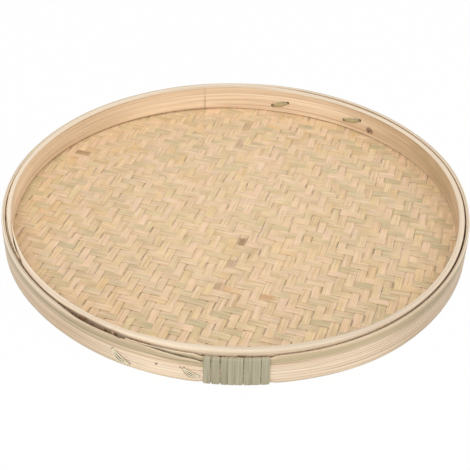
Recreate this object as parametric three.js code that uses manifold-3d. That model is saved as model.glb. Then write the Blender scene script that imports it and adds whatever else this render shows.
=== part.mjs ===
// A zaru: a round, shallow bamboo basket. A twill-woven mat is laid over a tall outer hoop, and an inner hoop
// pressed down inside it turns the mat's edge up and clamps it between the two. The outer hoop's ends lap
// behind a flat bamboo binding, the inner hoop's ends lap at the left, and four laces sew the rim together.
// Lengths are in millimetres, +Z is up, the tray stands on the outer hoop's lower edge at Z = 0 with its axis
// on Z, and the bound lap faces -Y.

import * as THREE from "three";
import { mergeVertices } from "three/addons/utils/BufferGeometryUtils.js";
import Module from "manifold-3d";

const wasm = await Module();
wasm.setup();

const { clamp, degToRad, lerp, smoothstep } = THREE.MathUtils;
const FULL_TURN = 2 * Math.PI;

// Gap left between pieces that touch on the real basket.
const SEAT_GAP = 0.3;
// How far a cutting body runs past what it cuts.
const OVERRUN = 2;

// Stops round the rim. Every band uses the same ones, so neighbouring facets stay parallel.
const RIM_STEPS = 96;
const RIM_STEP = FULL_TURN / RIM_STEPS;
const NEAR_SHARE = 0.05;

// How far the hand-bent rim strays from a true circle, as two and three waves round it.
const STRAY = 0.9;
const STRAY_SHARES = [
  { waves: 2, cosine: -0.42, sine: -0.38 },
  { waves: 3, cosine: -0.84, sine: 0.56 },
];

// The hand-cut tops aren't level either: how far each hoop's top rises and falls, and in which waves.
const OUTER_TOP_RISE = 1.2;
const OUTER_TOP_SHARES = [{ waves: 1, cosine: 0.45, sine: 0.92 }];
const INNER_TOP_RISE = 1.2;
const INNER_TOP_SHARES = [
  { waves: 2, cosine: -0.18, sine: -0.68 },
  { waves: 3, cosine: 0.15, sine: 0.53 },
  { waves: 4, cosine: 0.6, sine: 0.22 },
];

// Outer hoop.
const OUTER_RADIUS = 200;
const OUTER_THICKNESS = 3;
const OUTER_HEIGHT = 28.3;
const SKIN_HEIGHT = 6;
const OUTER_EDGE_ROUND = 1.3;
const FOOT_ROUND = 0.6;
// Where the section's points lie between the hoop's inner and outer faces.
const OUTER_SECTION_SHARES = { foot: 0.83, shoulder: 0.85, crest: 0.6, back: 0.15 };
const OUTER_LAP = {
  from: degToRad(-114.7),
  to: degToRad(-84),
  ramp: degToRad(3),
  firstShare: 0.3,
  lastShare: 0.75,
  steepness: 3,
};
// Towards the binding, the outer end's top edge is skived down, so that the inner end shows above it.
const OUTER_DROOP = 4.5;
const OUTER_DROOP_RUN = { from: degToRad(-112), to: degToRad(-97.5) };

// Inner hoop, which stands on the mat.
const INNER_THICKNESS = 4.6;
const INNER_STAND = 1.7;
const INNER_TOP_ROUND = 1.3;
// Where a lapped end is thin, its edges are rounded by no more than this share of it.
const THIN_ROUND_SHARE = 0.4;
// Steps round each of the top's two edges.
const INNER_TOP_STEPS = 2;
const INNER_LAP = {
  from: degToRad(-168.5),
  to: degToRad(-151.9),
  ramp: degToRad(3),
  firstShare: 0.2,
  lastShare: 0.82,
  steepness: 1,
};
// The raised ring of one joint of the cane, across the hoop's inner face.
const NODE_ANGLE = degToRad(99.9);
const NODE_RISE = 0.4;
const NODE_WIDTH = 5;

// Woven mat: warps run from front to back and wefts from side to side, both turned a little.
const FLOOR_LIFT = 4.6;
const MAT_BODY = 0.8;
const FLOAT_CROWN = 0.6;
const WARP_PITCH = 7.5;
const WEFT_PITCH = 7.76;
const WARP_TURN = degToRad(15.54);
const WEFT_TURN = degToRad(17.07);
// From the middle warp and the middle weft to the tray's axis.
const WARP_OFFSET = 3.2;
const WEFT_OFFSET = 1.36;
// The hand-laid splints aren't quite straight or parallel: how far they drift by the time they reach the rim.
const WARP_FAN = 13.7;
const WEFT_BOW = -4.5;
const WEFT_CROWD = 9.1;
const WEAVE_SOLVE_STEPS = 24;
// The twill repeats every four splints. Over and under each take half of it.
const TWILL_REPEAT = 4;
const TWILL_PHASE = 2;

// The mat's edge, turned up between the hoops and trimmed by hand.
const EDGE_THICKNESS = 0.8;
const EDGE_BEND = 1.4;
const EDGE_TRIM = 1.9;
const EDGE_RAG = 2;
const RAG_WAVES = 37;

// Flat strip bound round the outer hoop's lap.
const BINDING_ANGLE = degToRad(-89.33);
const BINDING_TURNS = 8;
const BINDING_PITCH = 6.2;
const BINDING_WIDTH = 5.75;
const BINDING_THICKNESS = 0.6;
const BINDING_BEND = 0.9;
const BINDING_LIFT = 0.1;
const BINDING_RAMP = 4;
// How far the binding presses the hoop's top edge down.
const BINDING_PRESS = 1;
const BEND_STEPS = 2;

// Laces through the rim. Each runs flat on the face it shows on, and its ends are clinched or tucked.
const LACE_WIDTH = 2.6;
const LACE_THICKNESS = 0.6;
const LACE_CLINCH = 5;
const LACE_CLEARANCE = 0.35;
// A tucked end stops this far into the outer hoop's wall.
const TUCK_SHARE = 0.6;
// The lace by the binding: from the last turn that shows to the lace, and how far round the rim it runs.
const LACE_BESIDE = 3.6;
const LACE_BESIDE_RUN = 12.2;
const LACES = [
  { name: "lace_front_left", shows: "outside", angles: [-117.8, -113.3], heightShares: [0.488, 0.127] },
  { name: "lace_front", shows: "outside", byBinding: true, heightShares: [0.446, 0.233] },
  { name: "lace_back", shows: "inside", angles: [80.1, 75.5], heightShares: [0.449, 0.597] },
  { name: "lace_back_right", shows: "inside", angles: [58.1, 52.8], heightShares: [0.481, 0.664] },
];

// Radii from the outside in, and heights from the ground up.
const outerInner = OUTER_RADIUS - OUTER_THICKNESS;
const edgeOuter = outerInner - SEAT_GAP;
const edgeInner = edgeOuter - EDGE_THICKNESS;
const innerOuter = edgeInner - SEAT_GAP;
const innerInner = innerOuter - INNER_THICKNESS;
const bendStart = edgeInner - EDGE_BEND;
const floorRadius = bendStart - SEAT_GAP;
const slitHeight = FLOOR_LIFT + MAT_BODY;
const floorTop = slitHeight + FLOAT_CROWN;
const innerFoot = floorTop + SEAT_GAP;
const innerTop = OUTER_HEIGHT + INNER_STAND;

// The binding's room: how much of the hoop is pared away below and behind it.
const paredWall = BINDING_THICKNESS + SEAT_GAP;
const paredFoot = BINDING_LIFT + BINDING_THICKNESS + SEAT_GAP;
const bindingSpan = (BINDING_TURNS - 1) * BINDING_PITCH + BINDING_WIDTH;
// The hidden ends lie half a pitch outside the turns that show.
const bindingReach = (bindingSpan + BINDING_PITCH) / 2;

const bamboo = {
  hoop: new THREE.MeshStandardMaterial({ color: 0xdfc7a0, roughness: 0.55, metalness: 0 }),
  rim: new THREE.MeshStandardMaterial({ color: 0xe6d2b0, roughness: 0.55, metalness: 0 }),
  mat: new THREE.MeshStandardMaterial({ color: 0xddc293, roughness: 0.6, metalness: 0 }),
  edge: new THREE.MeshStandardMaterial({ color: 0xa98a5c, roughness: 0.7, metalness: 0 }),
  green: new THREE.MeshStandardMaterial({ color: 0xa5a582, roughness: 0.6, metalness: 0 }),
};

// The sum of some waves round the rim.
function waved(waves, angle) {
  const wave = (w) => w.cosine * Math.cos(w.waves * angle) + w.sine * Math.sin(w.waves * angle);
  return waves.reduce((sum, w) => sum + wave(w), 0);
}

function stray(angle) {
  return STRAY * waved(STRAY_SHARES, angle);
}

// A point at a nominal radius, an angle round the rim and a height.
function place(radius, angle, height) {
  const reach = radius + stray(angle);
  return new THREE.Vector3(reach * Math.cos(angle), reach * Math.sin(angle), height);
}

// Angles between two ends, with every whole rim step and any extra stops between them.
function stations(from, to, extras = []) {
  const stops = [from, ...extras.filter((angle) => angle > from && angle < to), to];
  for (let k = Math.ceil(from / RIM_STEP); k * RIM_STEP < to; k++) {
    const clear = (stop) => Math.abs(stop - k * RIM_STEP) > RIM_STEP * NEAR_SHARE;
    if (stops.every(clear)) {
      stops.push(k * RIM_STEP);
    }
  }
  return stops.sort((a, b) => a - b);
}

// A closed solid skinned over rings of points. Seen along the sweep, each ring runs anticlockwise about the
// direction that it came from. An open sweep gets flat ends, so its rings are convex.
function skin(rings, joined = false) {
  const count = rings[0].length;
  const spans = joined ? rings.length : rings.length - 1;
  const index = [];
  for (let k = 0; k < spans; k++) {
    const near = k * count;
    const far = ((k + 1) % rings.length) * count;
    for (let i = 0; i < count; i++) {
      const next = (i + 1) % count;
      index.push(near + i, far + i, far + next);
      index.push(near + i, far + next, near + next);
    }
  }
  if (!joined) {
    const end = (rings.length - 1) * count;
    for (let i = 1; i < count - 1; i++) {
      index.push(0, i, i + 1);
      index.push(end, end + i + 1, end + i);
    }
  }
  const geometry = new THREE.BufferGeometry();
  geometry.setFromPoints(rings.flat());
  geometry.setIndex(index);
  geometry.computeVertexNormals();
  return geometry;
}

function toSolid(geometry) {
  const bare = geometry.clone();
  bare.deleteAttribute("normal");
  bare.deleteAttribute("uv");
  const merged = mergeVertices(bare);
  const vertProperties = new Float32Array(merged.attributes.position.array);
  const triVerts = new Uint32Array(merged.index.array);
  return new wasm.Manifold(new wasm.Mesh({ numProp: 3, vertProperties, triVerts }));
}

function toGeometry(solid) {
  const mesh = solid.getMesh();
  const geometry = new THREE.BufferGeometry();
  geometry.setAttribute("position", new THREE.BufferAttribute(mesh.vertProperties, 3));
  geometry.setIndex(new THREE.BufferAttribute(mesh.triVerts, 1));
  geometry.computeVertexNormals();
  return geometry;
}

function cut(geometry, cutters) {
  const solid = cutters.reduce((rest, cutter) => rest.subtract(cutter), toSolid(geometry));
  return toGeometry(solid);
}

// From 1 under the binding to 0 beside it.
function underBinding(angle) {
  const turn = angle - BINDING_ANGLE;
  const apart = Math.abs(Math.atan2(Math.sin(turn), Math.cos(turn))) * OUTER_RADIUS;
  return 1 - smoothstep(apart, bindingReach, bindingReach + BINDING_RAMP);
}

// A hoop's wall where its ends lap: the first end tapers along the inside, the last end tapers over it.
function lappedWall(angle, inner, outer, lap) {
  const along = (turned) => clamp((turned - lap.from) / (lap.to - lap.from), 0, 1);
  const seam = (turned) => {
    const share = lerp(lap.firstShare, lap.lastShare, along(turned) ** lap.steepness);
    return lerp(inner, outer, share);
  };
  const beneath = 1 - smoothstep(angle, lap.to, lap.to + lap.ramp);
  const above = smoothstep(angle, lap.from + FULL_TURN - lap.ramp, lap.from + FULL_TURN);
  return {
    inner: lerp(inner, seam(angle - FULL_TURN) + SEAT_GAP / 2, above),
    outer: lerp(outer, seam(angle) - SEAT_GAP / 2, beneath),
  };
}

// The stops that a lapped hoop needs besides the whole steps.
function lapStops(lap) {
  const half = (lap.from + lap.to) / 2;
  return [half, lap.to, lap.to + lap.ramp, lap.from - lap.ramp, lap.from].flatMap((angle) => [
    angle,
    angle + FULL_TURN,
  ]);
}

// The outer hoop's top, not counting how far its outer end droops.
function outerTop(angle) {
  const rise = OUTER_TOP_RISE * waved(OUTER_TOP_SHARES, angle);
  return OUTER_HEIGHT + rise - underBinding(angle) * BINDING_PRESS;
}

// How far the outer end's top edge is skived down. It lies past the full turn.
function droop(angle) {
  return OUTER_DROOP * smoothstep(angle - FULL_TURN, OUTER_DROOP_RUN.from, OUTER_DROOP_RUN.to);
}

function outerHoop(slots) {
  const reaches = [bindingReach, bindingReach + BINDING_RAMP].map((reach) => reach / OUTER_RADIUS);
  const bindingStops = reaches.flatMap((reach) => [BINDING_ANGLE - reach, BINDING_ANGLE + reach]);
  const droopStops = [OUTER_DROOP_RUN.from, OUTER_DROOP_RUN.to].map((angle) => angle + FULL_TURN);
  const pastTurn = bindingStops.map((angle) => angle + FULL_TURN);
  const extras = [...bindingStops, ...pastTurn, ...lapStops(OUTER_LAP), ...droopStops];
  const shares = OUTER_SECTION_SHARES;
  const rings = stations(OUTER_LAP.from, OUTER_LAP.to + FULL_TURN, extras).map((angle) => {
    const pared = underBinding(angle);
    const wall = lappedWall(angle, outerInner + pared * paredWall, OUTER_RADIUS, OUTER_LAP);
    const across = (share) => lerp(wall.inner, wall.outer, share);
    const foot = pared * paredFoot;
    const top = outerTop(angle) - droop(angle);
    return [
      place(wall.inner, angle, foot),
      place(across(shares.foot), angle, foot),
      place(wall.outer, angle, foot + FOOT_ROUND),
      place(wall.outer, angle, top - SKIN_HEIGHT),
      place(across(shares.shoulder), angle, top - OUTER_EDGE_ROUND),
      place(across(shares.crest), angle, top),
      place(across(shares.back), angle, top),
      place(wall.inner, angle, top - OUTER_EDGE_ROUND / 2),
    ];
  });
  return cut(skin(rings), slots);
}

function innerHoop(slots) {
  const nodeHalf = NODE_WIDTH / 2 / innerInner;
  const nodeStops = [NODE_ANGLE - nodeHalf, NODE_ANGLE, NODE_ANGLE + nodeHalf];
  const extras = [...nodeStops, ...lapStops(INNER_LAP)];
  const rings = stations(INNER_LAP.from, INNER_LAP.to + FULL_TURN, extras).map((angle) => {
    const node = clamp(1 - Math.abs(angle - NODE_ANGLE) / nodeHalf, 0, 1);
    const wall = lappedWall(angle, innerInner - node * NODE_RISE, innerOuter, INNER_LAP);
    const round = Math.min(INNER_TOP_ROUND, (wall.outer - wall.inner) * THIN_ROUND_SHARE);
    const low = innerTop + INNER_TOP_RISE * waved(INNER_TOP_SHARES, angle) - round;
    const ring = [place(wall.inner, angle, innerFoot), place(wall.outer, angle, innerFoot)];
    for (const [centre, first] of [
      [wall.outer - round, 0],
      [wall.inner + round, Math.PI / 2],
    ]) {
      for (let k = 0; k <= INNER_TOP_STEPS; k++) {
        const turn = first + ((Math.PI / 2) * k) / INNER_TOP_STEPS;
        ring.push(place(centre + round * Math.cos(turn), angle, low + round * Math.sin(turn)));
      }
    }
    return ring;
  });
  return cut(skin(rings), slots);
}

// The mat's splint ends, bent up round the inner hoop's foot and trimmed unevenly below the hoops' tops.
function turnedUpEdge(slots) {
  const rings = [];
  for (let k = 0; k < RIM_STEPS; k++) {
    const angle = k * RIM_STEP;
    const rag = (1 + Math.sin(RAG_WAVES * angle) * Math.cos(angle)) / 2;
    const top = OUTER_HEIGHT - EDGE_TRIM - EDGE_RAG * rag;
    rings.push([
      place(bendStart, angle, FLOOR_LIFT),
      place(edgeInner, angle, FLOOR_LIFT),
      place(edgeOuter, angle, FLOOR_LIFT + EDGE_THICKNESS),
      place(edgeOuter, angle, top),
      place(edgeInner, angle, top),
      place(edgeInner, angle, floorTop),
      place(bendStart, angle, floorTop),
    ]);
  }
  return cut(skin(rings, true), slots);
}

// True where the weft lies over the warp. The twill's ribs run outward from the middle as nested diamonds.
function weftOnTop(warp, weft) {
  const step = Math.abs(warp) + Math.abs(weft) + TWILL_PHASE;
  return step % TWILL_REPEAT < TWILL_REPEAT / 2;
}

// Where a point of the floor lies in the weave: its distances across the warps and across the wefts.
function acrossWeave(x, y) {
  const [east, north] = [x / OUTER_RADIUS, y / OUTER_RADIUS];
  const warps = x * Math.cos(WARP_TURN) - y * Math.sin(WARP_TURN) + WARP_FAN * east * north;
  const wefts = x * Math.sin(WEFT_TURN) + y * Math.cos(WEFT_TURN) + WEFT_BOW * east ** 2 + WEFT_CROWD * north ** 2;
  return { warps: WARP_OFFSET + warps, wefts: WEFT_OFFSET + wefts };
}

// The point of the floor that lies so many warps and wefts from the middle ones, solved step by step.
function weavePoint(warp, weft, height) {
  const [turn, goal] = [(WARP_TURN + WEFT_TURN) / 2, { warps: warp * WARP_PITCH, wefts: weft * WEFT_PITCH }];
  let [x, y] = [0, 0];
  for (let k = 0; k < WEAVE_SOLVE_STEPS; k++) {
    const here = acrossWeave(x, y);
    const [warpMiss, weftMiss] = [goal.warps - here.warps, goal.wefts - here.wefts];
    x += warpMiss * Math.cos(turn) + weftMiss * Math.sin(turn);
    y += weftMiss * Math.cos(turn) - warpMiss * Math.sin(turn);
  }
  return new THREE.Vector3(x, y, height);
}

// The floor: each float of a splint rises to a crown between the slits round it. A float runs on over the
// next crossing wherever the same splint stays on top there.
function wovenFloor() {
  const drift = Math.abs(WARP_FAN) + Math.abs(WEFT_BOW) + Math.abs(WEFT_CROWD);
  const rim = floorRadius + STRAY * OVERRUN + drift;
  const warps = Math.ceil((rim + Math.abs(WARP_OFFSET)) / WARP_PITCH);
  const wefts = Math.ceil((rim + Math.abs(WEFT_OFFSET)) / WEFT_PITCH);
  const columns = 2 * warps + 1;
  const rows = 2 * wefts + 1;
  const points = [];
  const index = [];
  const corner = (column, row) => row * (columns + 1) + column;
  const below = (columns + 1) * (rows + 1);
  const crown = (column, row) => 2 * below + row * columns + column;
  for (const height of [slitHeight, FLOOR_LIFT - OVERRUN]) {
    for (let row = 0; row <= rows; row++) {
      for (let column = 0; column <= columns; column++) {
        points.push(weavePoint(column - columns / 2, row - rows / 2, height));
      }
    }
  }
  for (let row = 0; row < rows; row++) {
    for (let column = 0; column < columns; column++) {
      points.push(weavePoint(column - warps, row - wefts, floorTop));
    }
  }
  for (let row = 0; row < rows; row++) {
    for (let column = 0; column < columns; column++) {
      const here = crown(column, row);
      const onTop = weftOnTop(column - warps, row - wefts);
      const sides = [
        { ends: [corner(column, row), corner(column + 1, row)], step: [0, -1] },
        { ends: [corner(column + 1, row), corner(column + 1, row + 1)], step: [1, 0] },
        { ends: [corner(column + 1, row + 1), corner(column, row + 1)], step: [0, 1] },
        { ends: [corner(column, row + 1), corner(column, row)], step: [-1, 0] },
      ];
      for (const { ends, step } of sides) {
        const [nextColumn, nextRow] = [column + step[0], row + step[1]];
        const inside = nextColumn >= 0 && nextColumn < columns && nextRow >= 0 && nextRow < rows;
        const alongWeft = step[0] !== 0;
        const sameStrip = onTop === alongWeft && weftOnTop(nextColumn - warps, nextRow - wefts) === onTop;
        if (inside && sameStrip) {
          index.push(ends[0], crown(nextColumn, nextRow), here);
        } else {
          index.push(ends[0], ends[1], here);
        }
        if (!inside) {
          index.push(ends[1], ends[0], below + ends[0]);
          index.push(ends[1], below + ends[0], below + ends[1]);
        }
      }
      index.push(below + sides[0].ends[0], below + sides[2].ends[0], below + sides[0].ends[1]);
      index.push(below + sides[0].ends[0], below + sides[2].ends[1], below + sides[2].ends[0]);
    }
  }
  const slab = new THREE.BufferGeometry();
  slab.setFromPoints(points);
  slab.setIndex(index);

  const outline = [];
  for (let k = 0; k < RIM_STEPS; k++) {
    const point = place(floorRadius, k * RIM_STEP, 0);
    outline.push(new THREE.Vector2(point.x, point.y));
  }
  const depth = MAT_BODY + FLOAT_CROWN + OVERRUN;
  const disc = new THREE.ExtrudeGeometry(new THREE.Shape(outline), { depth, bevelEnabled: false });
  disc.translate(0, 0, FLOOR_LIFT);
  return toGeometry(toSolid(slab).intersect(toSolid(disc)));
}

// The binding's path round the hoop: under it, up the outside, over the top and down between the hoops, where
// it moves on by one pitch. Each stop has a radius, a height, the way it faces and how many pitches on it is.
function bindingPath() {
  const half = BINDING_THICKNESS / 2;
  const inside = outerInner + half + BINDING_BEND;
  const outside = OUTER_RADIUS + SEAT_GAP + half - BINDING_BEND;
  const low = BINDING_LIFT + half + BINDING_BEND;
  const high = outerTop(BINDING_ANGLE) + SEAT_GAP + half - BINDING_BEND;
  const bend = (radius, height, quarter, pitches) => {
    const stops = [];
    for (let k = 0; k <= BEND_STEPS; k++) {
      const facing = (Math.PI / 2) * (quarter + k / BEND_STEPS);
      stops.push({
        radius: radius + BINDING_BEND * Math.cos(facing),
        height: height + BINDING_BEND * Math.sin(facing),
        facing,
        pitches,
      });
    }
    return stops;
  };
  const end = (pitches) => ({
    radius: inside - BINDING_BEND,
    height: (low + high) / 2,
    facing: Math.PI,
    pitches,
  });
  const path = [end(-0.5), ...bend(inside, low, 2, 0)];
  for (let turn = 0; turn < BINDING_TURNS; turn++) {
    path.push(...bend(outside, low, -1, turn), ...bend(outside, high, 0, turn), ...bend(inside, high, 1, turn));
    if (turn < BINDING_TURNS - 1) {
      path.push(...bend(inside, low, 2, turn + 1));
    }
  }
  path.push(end(BINDING_TURNS - 0.5));
  return path;
}

// The least distance from any corner line of the strip to the strip a turn away.
function leastGap(rings) {
  const perTurn = 4 * (BEND_STEPS + 1);
  const nearest = new THREE.Vector3();
  let least = Infinity;
  for (let i = 0; i < rings.length; i++) {
    for (let k = i + perTurn / 2; k < rings.length - 1; k++) {
      for (const point of rings[i]) {
        for (let c = 0; c < rings[k].length; c++) {
          const edge = new THREE.Line3(rings[k][c], rings[k + 1][c]);
          edge.closestPointToPoint(point, true, nearest);
          least = Math.min(least, nearest.distanceTo(point));
        }
      }
    }
  }
  return least;
}

function binding() {
  const first = BINDING_ANGLE - (bindingSpan - BINDING_WIDTH) / 2 / OUTER_RADIUS;
  const halfWidth = BINDING_WIDTH / 2 / OUTER_RADIUS;
  const rings = bindingPath().map(({ radius, height, facing, pitches }) => {
    const angle = first + (pitches * BINDING_PITCH) / OUTER_RADIUS;
    const face = (side, edge) =>
      place(
        radius + ((side * BINDING_THICKNESS) / 2) * Math.cos(facing),
        angle + edge * halfWidth,
        height + ((side * BINDING_THICKNESS) / 2) * Math.sin(facing),
      );
    return [face(1, -1), face(-1, -1), face(-1, 1), face(1, 1)];
  });
  console.log(`binding: least gap between turns ${leastGap(rings).toFixed(3)} mm`);
  return skin(rings);
}

// The outline of a flat strip of the lace's thickness that follows a path of square bends.
function stripShape(path) {
  const side = (hand) =>
    path.map((point, k) => {
      const before = point.clone().sub(path[Math.max(k - 1, 0)]).normalize();
      const after = path[Math.min(k + 1, path.length - 1)].clone().sub(point).normalize();
      const turn = before.clone().add(after);
      const across = new THREE.Vector2(-turn.y, turn.x);
      return point.clone().addScaledVector(across, (hand * LACE_THICKNESS) / 2);
    });
  return new THREE.Shape([...side(-1), ...side(1).reverse()]);
}

// The angles at which a lace's run starts and ends.
function laceEnds({ angles, byBinding }) {
  if (!byBinding) {
    return angles.map(degToRad);
  }
  const end = BINDING_ANGLE - (bindingSpan / 2 + LACE_BESIDE) / OUTER_RADIUS;
  return [end - LACE_BESIDE_RUN / OUTER_RADIUS, end];
}

// A lace's own frame: x along its run, y outward from the tray's axis, z across its width.
function laceFrame(spec) {
  const { heightShares } = spec;
  const [start, end] = laceEnds(spec);
  const middle = (start + end) / 2;
  const heights = heightShares.map((share) => share * OUTER_HEIGHT);
  const along = 2 * OUTER_RADIUS * Math.sin((end - start) / 2);
  const rise = heights[1] - heights[0];
  const outward = new THREE.Vector3(Math.cos(middle), Math.sin(middle), 0);
  const run = new THREE.Vector3(-Math.sin(middle) * along, Math.cos(middle) * along, rise).normalize();
  const matrix = new THREE.Matrix4().makeBasis(run, outward, run.clone().cross(outward));
  matrix.setPosition(new THREE.Vector3(0, 0, (heights[0] + heights[1]) / 2));
  return { matrix, reach: Math.hypot(along, rise) / 2, away: stray(middle) };
}

// Radii of the lace's run outside the rim and inside it, where the hoop curves in towards the run's ends.
function laceRuns({ reach, away }) {
  const half = LACE_THICKNESS / 2;
  return {
    outside: OUTER_RADIUS + LACE_CLEARANCE + half + away,
    inside: Math.sqrt(innerInner ** 2 - reach ** 2) - LACE_CLEARANCE - half + away,
    tucked: OUTER_RADIUS - TUCK_SHARE * OUTER_THICKNESS + away,
  };
}

function lace(spec) {
  const frame = laceFrame(spec);
  const { reach } = frame;
  const { outside, inside, tucked } = laceRuns(frame);
  const shownOutside = [
    [LACE_CLINCH - reach, inside],
    [-reach, inside],
    [-reach, outside],
    [reach, outside],
    [reach, tucked],
  ];
  const shownInside = [
    [LACE_CLINCH - reach, outside],
    [-reach, outside],
    [-reach, inside],
    [reach, inside],
    [reach, outside],
    [reach - LACE_CLINCH, outside],
  ];
  const path = (spec.shows === "outside" ? shownOutside : shownInside).map(([x, y]) => new THREE.Vector2(x, y));
  const geometry = new THREE.ExtrudeGeometry(stripShape(path), { depth: LACE_WIDTH, bevelEnabled: false });
  geometry.translate(0, 0, -LACE_WIDTH / 2);
  geometry.applyMatrix4(frame.matrix);
  return geometry;
}

// The slots that a lace's legs pass through. A tucked leg has one in the outer hoop only.
function laceSlots(spec) {
  const frame = laceFrame(spec);
  const near = innerInner - OVERRUN;
  const far = OUTER_RADIUS + OVERRUN;
  const opening = 2 * LACE_CLEARANCE;
  return [-1, 1].map((end) => {
    const slot = new THREE.BoxGeometry(LACE_THICKNESS + opening, far - near, LACE_WIDTH + opening);
    slot.translate(end * frame.reach, (near + far) / 2 + frame.away, 0);
    slot.applyMatrix4(frame.matrix);
    return { solid: toSolid(slot), through: !(spec.shows === "outside" && end === 1) };
  });
}

const slots = LACES.flatMap(laceSlots);
const allSlots = slots.map((slot) => slot.solid);
const throughSlots = slots.filter((slot) => slot.through).map((slot) => slot.solid);

const zaru = new THREE.Group();
const add = (name, geometry, material) => {
  const mesh = new THREE.Mesh(geometry, material);
  mesh.name = name;
  zaru.add(mesh);
};

add("outer_hoop", outerHoop(allSlots), bamboo.hoop);
add("inner_hoop", innerHoop(throughSlots), bamboo.rim);
add("woven_floor", wovenFloor(), bamboo.mat);
add("turned_up_edge", turnedUpEdge(throughSlots), bamboo.edge);
add("splice_binding", binding(), bamboo.green);
for (const spec of LACES) {
  add(spec.name, lace(spec), bamboo.green);
}

export default zaru;
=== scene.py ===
import math

import bpy
import numpy as np
from mathutils import Matrix, Vector
from mathutils.bvhtree import BVHTree


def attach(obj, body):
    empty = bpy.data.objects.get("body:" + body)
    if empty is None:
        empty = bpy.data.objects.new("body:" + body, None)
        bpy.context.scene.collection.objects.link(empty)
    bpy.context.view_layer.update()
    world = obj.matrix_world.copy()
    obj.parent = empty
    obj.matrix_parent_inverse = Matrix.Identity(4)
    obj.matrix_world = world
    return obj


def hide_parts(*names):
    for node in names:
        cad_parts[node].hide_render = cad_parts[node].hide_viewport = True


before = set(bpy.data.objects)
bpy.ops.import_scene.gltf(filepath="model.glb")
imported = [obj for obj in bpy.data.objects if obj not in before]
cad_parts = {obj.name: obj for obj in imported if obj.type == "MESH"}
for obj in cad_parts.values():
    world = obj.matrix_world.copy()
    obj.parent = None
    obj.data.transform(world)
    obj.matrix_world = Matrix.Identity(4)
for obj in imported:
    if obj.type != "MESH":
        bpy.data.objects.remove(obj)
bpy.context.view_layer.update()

MM = 0.001
TURN = 2 * math.pi
QUARTER = math.pi / 2
RNG = np.random.default_rng(7)

# The rim, as the frame has it.
OUTER_RADIUS = 200.0
OUTER_THICKNESS = 3.0
OUTER_INNER = OUTER_RADIUS - OUTER_THICKNESS
OUTER_HEIGHT = 28.3
INNER_OUTER = 195.6
INNER_INNER = 191.0
INNER_FOOT = 6.3
INNER_TOP = 30.0
TOP_RISE = 1.2
OUTER_TOP_WAVES = ((1, 0.45, 0.92),)
INNER_TOP_WAVES = ((2, -0.18, -0.68), (3, 0.15, 0.53), (4, 0.6, 0.22))
SEAT_GAP = 0.3
STRAY = 0.9
STRAY_WAVES = ((2, -0.42, -0.38), (3, -0.84, 0.56))


def waved(waves, angle):
    return sum(c * np.cos(n * angle) + s * np.sin(n * angle) for n, c, s in waves)


def stray(angle):
    """How far the hand-bent rim strays from a true circle."""
    return STRAY * waved(STRAY_WAVES, angle)


def smoothstep(x, low, high):
    t = np.clip((np.asarray(x, float) - low) / (high - low), 0, 1)
    return t * t * (3 - 2 * t)


def lerp(a, b, t):
    return a + (b - a) * t


def between(x, low, full, late, gone):
    """0 up to low, 1 from full to late, 0 again from gone."""
    return smoothstep(x, low, full) * (1 - smoothstep(x, late, gone))


def bell(x, middle, width):
    return np.exp(-(((x - middle) / width) ** 2))


def wobble(waves):
    """A smooth seeded function of a position, about -1 to 1. Each wave is a frequency in turns per unit."""
    parts = [(f, RNG.uniform(0, TURN), RNG.uniform(0.6, 1)) for f in waves]
    total = sum(a for _, _, a in parts)
    return lambda x: sum(a * np.sin(TURN * f * np.asarray(x) + p) for f, p, a in parts) / total * 1.4


def rim_wobble(waves):
    """The same round the rim, closed: the waves are whole numbers in a turn."""
    turned = wobble(waves)
    return lambda angle: turned(np.asarray(angle) / TURN)


def about_rim(*stops):
    """A smooth function of the angle round the rim, from stops of degrees and values."""
    places, values = zip(*stops)
    spread = (-6, -3, 0, 3, 6)

    def value(angle):
        return sum(np.interp(np.degrees(angle) + s, places, values, period=360) for s in spread) / len(spread)

    return value


def around(radius, angle, z):
    """Points from their distance to the middle, their angle and their height."""
    return np.stack([radius * np.cos(angle), radius * np.sin(angle), z], -1)


def layered(shape, *columns):
    """The columns, each spread over the shape, along a new last axis."""
    return np.stack([np.broadcast_to(column, shape) for column in columns], -1)


def run_along(points, more=0):
    """The length run up to each point of a line, as a column, with some more for each step."""
    steps = np.linalg.norm(np.diff(points, axis=0), axis=1) + more
    return np.concatenate([[0], np.cumsum(steps)])[:, None]


def new_mesh(name, points, faces):
    mesh = bpy.data.meshes.new(name)
    mesh.from_pydata([tuple(p) for p in points], [], faces)
    return mesh


def add_object(name, data):
    made = bpy.data.objects.new(name, data)
    bpy.context.scene.collection.objects.link(made)
    return made


# Camera

CAMERA_AT = (0.0, -1.01865, 0.74714)
CAMERA_RIGHT = (0.99979, 0.01210, 0.01650)
CAMERA_UP = (-0.02046, 0.59131, 0.80619)
CAMERA_AHEAD = (0.0, 0.80636, -0.59143)
CAMERA_LENS = 111.22
CAMERA_SHIFT = (-0.0026, -0.0125)
CAMERA_CLIP = (0.05, 30)


def add_camera():
    data = bpy.data.cameras.new("camera")
    data.lens = CAMERA_LENS
    data.shift_x, data.shift_y = CAMERA_SHIFT
    data.clip_start, data.clip_end = CAMERA_CLIP
    camera = add_object("camera", data)
    axes = Matrix((CAMERA_RIGHT, CAMERA_UP, [-x for x in CAMERA_AHEAD]))
    camera.matrix_world = Matrix.Translation(CAMERA_AT) @ axes.transposed().to_4x4()
    bpy.context.scene.camera = camera


# Materials


def srgb(red, green, blue):
    """A colour written as it shows on screen, from 0 to 255."""
    line = [c / 255 for c in (red, green, blue)]
    return (*(c / 12.92 if c <= 0.04045 else ((c + 0.055) / 1.055) ** 2.4 for c in line), 1.0)


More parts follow.
